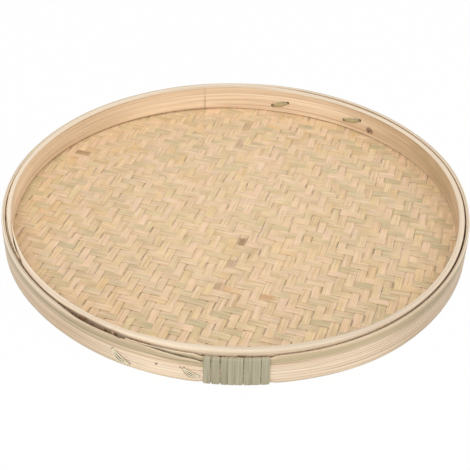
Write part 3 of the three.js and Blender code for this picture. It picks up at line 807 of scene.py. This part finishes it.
def outer_hoop(material):
    at = hoop_angles(OUTER_LAP)
    pared = under_binding(at)
    inner, outer = lapped_wall(at, OUTER_INNER + pared * PARED_WALL, OUTER_RADIUS, OUTER_LAP)
    inner = inner + RAW_HOLLOW * raw_zone(at) * (outer - inner > 2)
    share, height, green = (np.array(column) for column in zip(*OUTER_SECTION))
    face = share >= 1
    drift, lift, phase = rim_wobble((3, 5, 8)), rim_wobble((4, 7, 13)), rim_wobble((2, 3, 5))
    top = outer_top(at) + 0.15 * lift(at) - OUTER_DROOP * smoothstep(at - TURN, DROOP_FROM, DROOP_TO)
    foot = pared * PARED_FOOT
    from_top = np.isin(np.arange(len(share)), FROM_TOP)
    z = np.where(from_top, top + height, foot + height * (top - foot) / OUTER_HEIGHT)
    up = z / OUTER_HEIGHT
    flute = np.sin(TURN * height / FLUTE_LENGTH + 1.3 * phase(at)) * between(height, 1, 4, 19, 21)
    radius = inner + (outer - inner) * share + OUTER_FLUTE * (flute - 1) * face
    outward_share = np.clip((radius - OUTER_INNER) / OUTER_THICKNESS, 0, 1)
    radius = radius + foot_in(at) * outward_share * (1 - up)
    radius = radius + top_out(at) * up * lerp(0.35, 1, outward_share) + stray(at) + 0.08 * drift(at)
    points = around(radius, at, z)

    side = brown_side(at) * (share > 0.8)
    pale = pale_crest(at) * (height < 0) * (share > 0.03) * smoothstep(height, -4.4, -1.6)
    skinned = lerp(green + (1 - green) * 0.5 * side * smoothstep(z, 15.5, 18.5), -0.8, pale)
    skinned = skinned - pale_face(at) * between(height, 2, 5, 13, 17) * face
    tan = np.maximum(outer_tan(at) * (1 - pale), (share < 0.03) * 0.2)
    grey = 0.9 * (1 - smoothstep(height, 0.8, 3.6)) * (height >= 0)
    light = outer_light(at)
    light = lerp(lerp(light, np.minimum(light, 0.99), green), 1.04, pale)
    light = 0.94 * light * (1 - 0.12 * side * smoothstep(z, 15, 18.5))
    # Painted shadow on the inner face, and on the first end's edge under the skived last one.
    hidden = np.interp(share, (0, 0.05, 0.2), (0.7, 0.25, 0)) * (height < 0)
    hidden = hidden + 0.75 * (share < 0.01) * (height >= 1)
    skived = outer_top(at) - OUTER_DROOP * smoothstep(at, DROOP_FROM, DROOP_TO)
    first_end = smoothstep(at, DROOP_FROM - 0.03, DROOP_FROM + 0.05) * (at < math.radians(OUTER_LAP["to"]))
    light = light * (1 - 0.75 * bell(z, skived + 0.3, 0.9) * (share > 0.7) * first_end)
    tint = layered(z.shape, skinned, tan, grey, light * (1 - hidden * dark_gap(at)))
    return round_strip(points, np.where(share < 0.3, z + 40, z), 3.3, tint, "outer_hoop", material)


INNER_ROUND = 1.25
CREST_STEPS = 5
# How far the inner face is out of its place at the top and at the foot, and how far the foot is lifted.
inner_face_out = about_rim(
    (-165, 0.6), (-152, 0.7), (-141, -0.5), (-129, -0.8), (-114, -0.4), (-100, -0.5), (-75, -0.3),
    (150, 0), (180, 0.3),
)
inner_foot_out = about_rim(
    (-180, 0.8), (-150, 0), (-20, 0), (0, 0.5), (18, 1.4), (34, 0.2), (50, -1.7), (72, -2.4), (90, -0.2),
    (110, 0.9), (128, 1.7), (152, 1.7), (170, 1.0),
)
inner_foot_lift = about_rim((-170, 0), (90, 0), (108, 0.3), (125, 1.3), (160, 1.3), (178, 0.2))
# Painted light and shade: how light the inner hoop is at each place round the rim.
inner_light = about_rim(
    (-170, 1.1), (-140, 1.04), (-105, 1.0), (-85, 0.9), (-50, 0.88), (-25, 0.98), (0, 1.0), (18, 0.98),
    (45, 0.98), (62, 1.15), (118, 1.17), (135, 1.08), (158, 1.1), (170, 1.24),
)
# Where painted shade and light run across the crest, darker inside and lighter outside, and where painted
# light falls on the hoop's outer side.
far_crest = about_rim((40, 0), (60, 1), (120, 1), (140, 0))
# Where a pale band runs round the middle of the inner face.
pale_band = about_rim(
    (0, 0), (44, 0), (60, 1), (122, 1), (136, 0.6), (160, 0.9), (178, 1), (-160, 0.5), (-150, 0),
)
front_side = about_rim((-172, 0), (-152, 1), (-30, 1), (-5, 0), (170, 0))
# How light the crest is round the rim, in painted light and shade, and how dark the line under it.
crest_light = about_rim(
    (-170, 1.07), (-140, 1.06), (-118, 1.04), (-105, 1.0), (-85, 0.88), (-50, 0.88), (-25, 1.0),
    (20, 1.05), (60, 1.03), (120, 1.05), (150, 1.05),
)
crest_line = about_rim(
    (-160, 0), (0, 0.05), (15, 0.22), (45, 0.2), (62, 0.12), (112, 0.14), (124, 0.28), (142, 0.25),
    (160, 0.1),
)
inner_tan = about_rim(
    (-170, 0.2), (-140, 0.1), (-90, 0.2), (0, 0.6), (20, 0.85), (48, 0.8), (64, 0.15), (118, 0.1),
    (135, 0.4), (158, 0.3), (172, 0),
)


def inner_section(thick, round_by, foot, top):
    """Places across the wall and heights, from the foot, outside first, over the flat top and down again."""
    rows = [(0.12 * thick, foot), (0.9 * thick, foot), (thick, foot + 0.5)]
    rows += [(thick, lerp(foot, top, z)) for z in (0.4, 0.78, 0.84, 0.88, 0.92)]
    for centre, first in ((thick - round_by, 0), (round_by, QUARTER)):
        for turn in first + QUARTER * np.arange(CREST_STEPS + 1) / CREST_STEPS:
            rows.append((centre + round_by * math.cos(turn), top - round_by * (1 - math.sin(turn))))
    inside = [lerp(foot, top, z) for z in (0.93, 0.9, 0.86, 0.76, 0.66, 0.55, 0.44, 0.33, 0.22, 0.11)]
    rows += [(0 * thick, z) for z in (*inside, foot + 0.4)]
    return [np.hstack(column) for column in zip(*rows)]


def inner_hoop(material):
    at = np.unique(np.concatenate([hoop_angles(INNER_LAP)[:, 0], NODE_ANGLE + NODE_STOPS]))[:, None]
    turned = (at + math.pi) % TURN - math.pi
    node = np.clip(1 - np.abs(turned - NODE_ANGLE) * INNER_INNER / NODE_REACH, 0, 1)
    inner, outer = lapped_wall(at, INNER_INNER - NODE_RISE * node, INNER_OUTER, INNER_LAP)
    drift, lift, phase = rim_wobble((3, 4, 7)), rim_wobble((3, 8, 12)), rim_wobble((2, 3, 5))
    inner = np.minimum(inner + inner_face_out(at), outer - 0.5)
    narrowed = raw_zone(at) * (1 - smoothstep(at, RAW_TO - 0.16, RAW_TO)) * (outer - inner > 2)
    thick = outer - 0.7 * narrowed - inner
    top = INNER_TOP + TOP_RISE * waved(INNER_TOP_WAVES, at) + 0.12 * lift(at)
    foot = INNER_FOOT + inner_foot_lift(at)
    across, z = inner_section(thick, np.minimum(INNER_ROUND, 0.4 * thick), foot, top)
    through = across / thick
    facing = (across <= 0) & (z < top - 0.5)
    flute = np.sin(TURN * z / 5.1 + 1.5 * phase(at)) * facing
    up = (z - INNER_FOOT) / (INNER_TOP - INNER_FOOT)
    lean = inner_foot_out(at) * np.clip(1 - up, 0, 1) * (1 - through)
    radius = inner + across - 0.08 * flute + lean + stray(at) - 0.06 * (1 + drift(at)) * facing
    points = around(radius, at, z)

    crest = smoothstep(z, top - 1.2, top - 0.3)
    ring = smoothstep(node, 0.4, 0.85) * (1 - 0.7 * smoothstep(up, 0.5, 0.75))
    banded = facing * pale_band(at)
    light = 0.93 * lerp(inner_light(at), crest_light(at), crest) * (1 - 0.08 * ring)
    light = light * (1 + (0.05 * bell(z, 19.5, 3) - 0.04 * bell(z, 26, 2)) * banded)
    light = light * (1 + far_crest(at) * crest * (0.28 * np.clip(through, 0, 1) - 0.12))
    light = light * (1 - crest_line(at) * bell(z, top - 1.6, 0.8) * (across < 0.3))
    # Painted shade on the outer side down in the gap, and painted light on it above the outer hoop at the
    # front, made paler too.
    above = z - outer_top(at)
    hidden = smoothstep(-above, 0.4, 1.6) * (through > 0.6)
    side = smoothstep(above, -1, 0.2) * (through > 0.7) * (1 - crest)
    light = light * (1 - 0.3 * hidden * dark_gap(at)) * (1 + 0.14 * side * front_side(at))
    pale = -0.45 * crest - 0.3 * bell(z, 20, 4) * banded - 0.4 * side
    tint = layered(z.shape, pale, inner_tan(at) * (1 - crest), -0.38 * ring * (1 - 0.85 * crest), light)
    return round_strip(points, z + across + 60, 4.6, tint, "inner_hoop", material)


# Binding

# Each wrap's own width, and the slit that it leaves before the next.
WRAP_WIDTHS = (5.5, 6.2, 5.3, 4.9, 6.4, 6.3, 6.3, 6.5)
WRAP_SLITS = (0.75, 0.85, 0.1, 0.1, 0.5, 0.1, 0.4)
BEND_STEPS = 5
RUN_STEPS = 6
# The strip's section: shares of half its width, and heights.
WRAP_SHARES = np.array((-1, -0.9, -0.5, 0, 0.5, 0.9, 1, 0.93, 0, -0.93))
WRAP_HEIGHTS = np.array((0.02, 0.2, 0.29, 0.31, 0.29, 0.2, 0.02, -0.27, -0.27, -0.27))


def wrap_places():
    """The middle of each wrap, from the middle of the binding."""
    stops = np.cumsum([*sum(zip(WRAP_WIDTHS, WRAP_SLITS), ()), WRAP_WIDTHS[-1]])
    return stops[::2] - np.array(WRAP_WIDTHS) / 2 - stops[-1] / 2


def binding(material):
    half = BINDING_THICKNESS / 2
    inside = OUTER_INNER + half + BINDING_BEND
    outside = OUTER_RADIUS + SEAT_GAP + half - BINDING_BEND
    low = BINDING_LIFT + half + BINDING_BEND
    high = float(outer_top(BINDING_ANGLE)) + 0.1 + half - BINDING_BEND
    rows = []

    def bend(radius, height, quarter, turns):
        for facing in QUARTER * (quarter + np.arange(BEND_STEPS + 1) / BEND_STEPS):
            out, up = BINDING_BEND * math.cos(facing), BINDING_BEND * math.sin(facing)
            rows.append((radius + out, height + up, facing, turns))

    def run(radius, start, stop, facing, turns):
        for part in np.arange(1, RUN_STEPS) / RUN_STEPS:
            rows.append((radius, lerp(start, stop, part), facing, lerp(*turns, part)))

    rows.append((inside - BINDING_BEND, (low + high) / 2, math.pi, -0.5))
    bend(inside, low, 2, 0)
    for turn in range(BINDING_TURNS):
        bend(outside, low, -1, turn)
        run(outside + BINDING_BEND, low, high, 0, (turn, turn))
        bend(outside, high, 0, turn)
        bend(inside, high, 1, turn)
        if turn < BINDING_TURNS - 1:
            run(inside - BINDING_BEND, high, low, math.pi, (turn, turn + 1))
            bend(inside, low, 2, turn + 1)
    rows.append((inside - BINDING_BEND, (low + high) / 2, math.pi, BINDING_TURNS - 0.5))

    radius, height, facing, turns = (np.array(column)[:, None] for column in zip(*rows))

    def by_turn(values):
        return np.interp(turns, np.arange(BINDING_TURNS), values)

    beyond = turns - np.clip(turns, 0, BINDING_TURNS - 1)
    places = by_turn(wrap_places()) + beyond * BINDING_PITCH
    aside = by_turn(WRAP_WIDTHS) * WRAP_SHARES / 2
    lean = by_turn(RNG.uniform(-0.12, 0.12, BINDING_TURNS)) * (height / OUTER_HEIGHT - 0.5)
    light = by_turn(RNG.uniform(0.88, 0.99, BINDING_TURNS))
    at = BINDING_ANGLE + (places + lean + aside) / OUTER_RADIUS
    reach = radius + WRAP_HEIGHTS * np.cos(facing) + stray(at)
    reach = reach + 0.55 * foot_in(at) * np.clip(1 - height / OUTER_HEIGHT, 0, 1)
    points = around(reach, at, height + WRAP_HEIGHTS * np.sin(facing))
    grain = layered(at.shape, run_along(np.hstack([radius, height]), 0.1) * MM, aside * MM, 5.7)
    tint = layered(at.shape, 0, 0, 0, light)
    return add_piece("binding_strip", [points], grain, tint, material, ("splice_binding",), 60)


# Laces

LACE_THICKNESS = 0.6
LACE_CLINCH = 5
LACE_CLEARANCE = 0.35
TUCK_SHARE = 0.6
LACE_BESIDE = 3.6
LACE_BESIDE_RUN = 12.2
LACE_BULGE = 0.35
# A strand's section: shares of half its width, and heights.
STRAND_SHARES = np.array((-1, -0.8, 0, 0.8, 1, 0.8, 0, -0.8))
STRAND_HEIGHTS = np.array((0, 0.22, 0.3, 0.22, 0, -0.22, -0.25, -0.22))
LACE_END = BINDING_ANGLE - (BINDING_SPAN / 2 + LACE_BESIDE) / OUTER_RADIUS
# Each lace: its node, whether it shows outside, the angles and the shares of the hoop's height where its run
# starts and ends, and its strands: how far each lies from the middle, its width, and how far it bows.
LACES = (
    ("lace_front_left", True, np.radians((-117.8, -113.7)), (0.488, 0.127),
     ((-0.8, 1.3, 0.6), (0.1, 1.2, 2.1), (0.9, 1.2, 3.6))),
    ("lace_front", True, (LACE_END - LACE_BESIDE_RUN / OUTER_RADIUS, LACE_END), (0.446, 0.233),
     ((-0.8, 1.0, 0.4), (0.1, 0.9, 1.4), (0.9, 0.9, 2.3))),
    ("lace_back", False, np.radians((80.1, 75.5)), (0.449, 0.597), ((0.0, 4.2, 0.0),)),
    ("lace_back_right", False, np.radians((58.1, 52.8)), (0.481, 0.664), ((0.0, 4.2, 0.0),)),
)


def bowed(shares, aside, bow, radius, swell=0):
    """Spots along a lace, further off its middle line and larger in the middle of its run."""
    return [(s, *(a + b * math.cos(s * QUARTER) for a, b in ((aside, bow), (radius, swell)))) for s in shares]


# Painted shade by the laces: whether outside, how strong, and its spots. Each is a share of half the run, a
# distance off the run's middle line and a radius. They are painted shade behind the outside laces, painted
# dark pits at both ends of the inside ones, and a painted shadow line along those, under the first half and
# over the second.
LACE_SHADES = (
    (True, 0.8, bowed((-0.75, -0.5, -0.25, 0, 0.25, 0.5, 0.75), 0.2, 2.4, 0.9, 2.6)),
    (False, 0.9, ((-0.94, -0.3, 1.9), (0.94, 0.2, 1.5))),
    (False, 0.45, bowed((-0.85, -0.65, -0.45, -0.25, -0.05, 0.15), -1.3, -0.9, 1.1)),
    (False, 0.45, bowed((0.35, 0.55, 0.75, 0.9), 1.0, 0.9, 0.9)),
)


def outer_shift(angle, height):
    up = height / OUTER_HEIGHT
    return foot_in(angle) * (1 - up) + top_out(angle) * up


def inner_shift(angle, height):
    return inner_foot_out(angle) * (1 - (height - INNER_FOOT) / (INNER_TOP - INNER_FOOT))


def lace_frame(outside, ends, shares):
    """The lace's own frame, with x along its run, y outward and z across its width: its axes and origin, half
    the run, and how far the rim, then the face that the lace shows on, is out of its place there."""
    middle, height = sum(ends) / 2, sum(shares) / 2 * OUTER_HEIGHT
    along = 2 * OUTER_RADIUS * math.sin((ends[1] - ends[0]) / 2)
    rise = (shares[1] - shares[0]) * OUTER_HEIGHT
    out = np.array([math.cos(middle), math.sin(middle), 0])
    run = np.array([-math.sin(middle) * along, math.cos(middle) * along, rise])
    run /= np.linalg.norm(run)
    axes = np.stack([run, out, np.cross(run, out)])
    shift = (outer_shift if outside else inner_shift)(middle, height)
    return axes, np.array([0, 0, height]), math.hypot(along, rise) / 2, stray(middle), shift


def lace_spots(shown_outside, spots):
    """The place in metres and the radius of each spot of painted shade by the laces that show on one side."""
    for _, outside, ends, shares, _ in LACES:
        axes, origin, reach, away, shift = lace_frame(outside, ends, shares)
        for s, aside, radius in spots if outside == shown_outside else ():
            deep = OUTER_RADIUS + away + shift
            if not outside:
                deep = math.sqrt((INNER_INNER + away + shift) ** 2 - (s * reach) ** 2)
            yield tuple((np.array([s * reach, deep, aside]) @ axes + origin) * MM), radius


def rounded(corners, radius=0.9, steps=5, spacing=1.0):
    """A polyline's points with its corners rounded."""
    corners = [np.array(c, float) for c in corners]
    out = [corners[0]]
    for before, corner, after in zip(corners, corners[1:], corners[2:]):
        back, on = before - corner, after - corner
        cut = min(radius, np.linalg.norm(back) / 2, np.linalg.norm(on) / 2)
        start = corner + back / np.linalg.norm(back) * cut
        stop = corner + on / np.linalg.norm(on) * cut
        for k in range(steps + 1):
            s = k / steps
            out.append((1 - s) ** 2 * start + 2 * s * (1 - s) * corner + s * s * stop)
    out.append(corners[-1])
    dense = [out[0]]
    for a, b in zip(out, out[1:]):
        pieces = max(1, int(np.linalg.norm(b - a) / spacing))
        dense += [lerp(a, b, (k + 1) / pieces) for k in range(pieces)]
    return np.array(dense)


def lace(node, outside, ends, shares, strands, material):
    axes, origin, reach, away, shift = lace_frame(outside, ends, shares)
    half = LACE_THICKNESS / 2
    outer = OUTER_RADIUS + LACE_CLEARANCE + half + away
    inner = math.sqrt(INNER_INNER**2 - reach**2) - LACE_CLEARANCE - half + away
    if outside:
        outer += shift
        tucked = OUTER_RADIUS - TUCK_SHARE * OUTER_THICKNESS + away
        corners = ((-reach, inner), (-reach, outer), (reach, outer), (reach, tucked))
        corners = ((LACE_CLINCH - reach, inner), *corners)
    else:
        inner += shift
        corners = ((-reach, outer), (-reach, inner), (reach, inner), (reach, outer))
        corners = ((LACE_CLINCH - reach, outer), *corners, (reach - LACE_CLINCH, outer))
    path = rounded(corners)
    shown = np.abs(path[:, 1] - (outer if outside else inner)) < 0.5
    middle = np.where(shown, np.cos(np.clip(path[:, 0] / reach, -1, 1) * QUARTER), 0)
    path[:, 1] += (LACE_BULGE if outside else -LACE_BULGE) * middle
    ahead = np.gradient(path, axis=0)
    ahead /= np.linalg.norm(ahead, axis=1)[:, None]
    across = np.stack([-ahead[:, 1], ahead[:, 0]], -1)
    flat = path[:, None] + across[:, None] * STRAND_HEIGHTS[:, None]
    along = run_along(path)
    middle = middle[:, None]
    taper = 0.75 + 0.25 * middle if outside else 0.2 + 0.8 * middle**1.1
    # Painted shade darkens the inside laces' ends, where they go into their holes.
    light = 0.93 * lerp(1 if outside else 0.35, 1, np.sqrt(middle))
    shells, grain, tint = [], [], []
    for place, width, bow in strands:
        z = place * (0.45 + 0.55 * middle) + bow * middle + STRAND_SHARES * width / 2 * taper
        shells.append(np.concatenate([flat, z[..., None]], -1) @ axes + origin)
        grain.append(layered(z.shape, along * MM, z * MM, 1.9 + place))
        tint.append(layered(z.shape, 0, 0, 0, light))
    return add_piece(node + "_strip", shells, grain, tint, material, (node,), 60)


# The holes' half sizes along the run, through the rim and across, and how far out their middles are.
OUTSIDE_HOLE = (0.8, 7.5, 1.7)
INSIDE_HOLE = (0.6, 7.5, 1.2)
HOLE_MIDDLE = 195.5


def cutter(centre, axes, sizes, steps=14):
    """An elliptical prism, to cut a hole."""
    turns = [TURN * k / steps for k in range(steps)]
    ring = [axes[0] * math.cos(t) * sizes[0] + axes[2] * math.sin(t) * sizes[2] for t in turns]
    points = [centre + axes[1] * side * sizes[1] + place for side in (-1, 1) for place in ring]
    faces = [(k, (k + 1) % steps, steps + (k + 1) % steps, steps + k) for k in range(steps)]
    faces += [tuple(range(steps))[::-1], tuple(range(steps, 2 * steps))]
    return np.array(points), outward(points, faces)


def carry_over(old, new):
    """Gives every point of a cut mesh the attributes of the nearest place on the mesh before the cut."""
    places = [vertex.co.copy() for vertex in old.vertices]
    polygons = [tuple(polygon.vertices) for polygon in old.polygons]
    tree = BVHTree.FromPolygons(places, polygons)
    for key, _, field, size in ATTRIBUTES:
        before = np.zeros(len(places) * size, np.float32)
        old.attributes[key].data.foreach_get(field, before)
        before = before.reshape(-1, size)
        after = np.zeros((len(new.vertices), size), np.float32)
        for k, vertex in enumerate(new.vertices):
            spot, _, polygon, _ = tree.find_nearest(vertex.co)
            corners = polygons[polygon]
            apart = np.array([(places[c] - spot).length for c in corners])
            weight = 1 / (apart + 1e-6) ** 2
            after[k] = weight @ before[list(corners)] / weight.sum()
        new.attributes[key].data.foreach_set(field, after.ravel())


def cut_holes(piece, cutters):
    """Cuts each hole in turn."""
    whole = piece.data.copy()
    for points, faces in cutters:
        mesh = new_mesh("hole", points * MM, faces)
        tool = add_object("hole", mesh)
        boolean = piece.modifiers.new("hole", "BOOLEAN")
        boolean.operation, boolean.solver, boolean.object = "DIFFERENCE", "EXACT", tool
        bpy.context.view_layer.update()
        shaped = bpy.data.meshes.new_from_object(piece.evaluated_get(bpy.context.evaluated_depsgraph_get()))
        piece.modifiers.clear()
        old, piece.data = piece.data, shaped
        bpy.data.meshes.remove(old)
        bpy.data.objects.remove(tool)
        bpy.data.meshes.remove(mesh)
    carry_over(whole, piece.data)
    bpy.data.meshes.remove(whole)


def lace_holes():
    """Holes through both hoops, and those through the outer one alone."""
    both, outer_only = [], []
    for _, outside, ends, shares, _ in LACES:
        axes, origin, reach, away, _ = lace_frame(outside, ends, shares)
        for end in (-1, 1):
            centre = np.array([end * reach, HOLE_MIDDLE + away, 0]) @ axes + origin
            made = cutter(centre, axes, OUTSIDE_HOLE if outside else INSIDE_HOLE)
            (outer_only if outside and end == 1 else both).append(made)
    return both, both + outer_only


def spot_holes(place, pits):
    """Small pits in a hoop's face round a spot."""
    centre = np.array(place) / MM
    angle = math.atan2(centre[1], centre[0])
    east, north = math.cos(angle), math.sin(angle)
    axes = np.array([[-north, east, 0], [east, north, 0], [0, 0, 1]])
    return [cutter(centre + axes[0] * a + axes[2] * b, axes, (r, 0.5, r), 10) for a, b, r in pits]


# Light and floor

WORLD_LIGHT = 0.62
# The floor glows white to the camera, but not under the tray, and not quite, so that the tray's shade shows.
GLOW = 0.975
UNDER_TRAY = (0.185, 0.192)
FLOOR_SPAN = 12
SPLINTS_EACH_WAY = (30, 29)


def add_light(name, size, power, at, colour=(1, 1, 1)):
    data = bpy.data.lights.new(name, "AREA")
    data.shape, data.size, data.energy, data.color = "DISK", size, power, colour
    lamp = add_object(name, data)
    lamp.rotation_euler = Vector(at).to_track_quat("Z", "Y").to_euler()
    lamp.location = at


def add_surroundings():
    """White to the camera and in glosses, softer as a light, on a floor that shows little but the shade."""
    n = Nodes("studio", "worlds", "ShaderNodeOutputWorld")
    soft = n.node("ShaderNodeBackground", {"Color": (1, 0.985, 0.965, 1), "Strength": WORLD_LIGHT})
    white = n.node("ShaderNodeBackground", {"Color": (1, 1, 1, 1), "Strength": 1.0})
    bpy.context.scene.world = n.blend(n.seen(), soft.outputs[0], white.outputs[0])

    n = Nodes("studio_floor")
    paint = n.mix(n.noise((9, 9, 9), 2.0, vector=n.position()), (0.86, 0.86, 0.86, 1), (0.88, 0.88, 0.88, 1))
    diffuse = n.node("ShaderNodeBsdfDiffuse", {"Color": paint})
    glow = n.node("ShaderNodeEmission", {"Strength": 1.0})
    free = n.sloped(n.near((0, 0, 0), *UNDER_TRAY), -1.0, 1.0)
    share = n.times(n.times(n.seen(), GLOW), free)
    corners = FLOOR_SPAN * np.array(((-1, -1, 0), (1, -1, 0), (1, 1, 0), (-1, 1, 0)))
    mesh = new_mesh("studio_floor", corners, [(0, 1, 2, 3)])
    mesh.materials.append(n.blend(share, diffuse.outputs[0], glow.outputs[0]))
    add_object("studio_floor", mesh)
    add_light("key", 1.6, 30, (-0.7, -1.9, 2.2), (1, 0.98, 0.95))
    add_light("fill", 2.0, 14, (1.6, -0.8, 1.9))


def main():
    add_camera()
    add_surroundings()
    bamboo, rim = splint_material(), hoop_material()
    green = strip_material("binding_bamboo", BOUND, BOUND_PALE, BOUND_DARK)
    pale = strip_material("lace_bamboo", LACE_PALE, CREAM, BOUND_PALE)
    sage = strip_material("lace_green", LACE_GREEN, LACE_LIGHT, LACE_DARK)
    for across, most in enumerate(SPLINTS_EACH_WAY):
        for number in range(-most, most + 1):
            splint(across, number, bamboo)
    outer, inner = outer_hoop(rim), inner_hoop(rim)
    both, through_outer = lace_holes()
    cut_holes(outer, through_outer + spot_holes(OUTER_DOT, DOT_PITS))
    cut_holes(inner, both + spot_holes(INNER_KNOT, KNOT_PITS))
    binding(green)
    for node, outside, ends, shares, strands in LACES:
        lace(node, outside, ends, shares, strands, pale if outside else sage)
    bpy.context.scene.view_settings.view_transform = "Standard"


main()
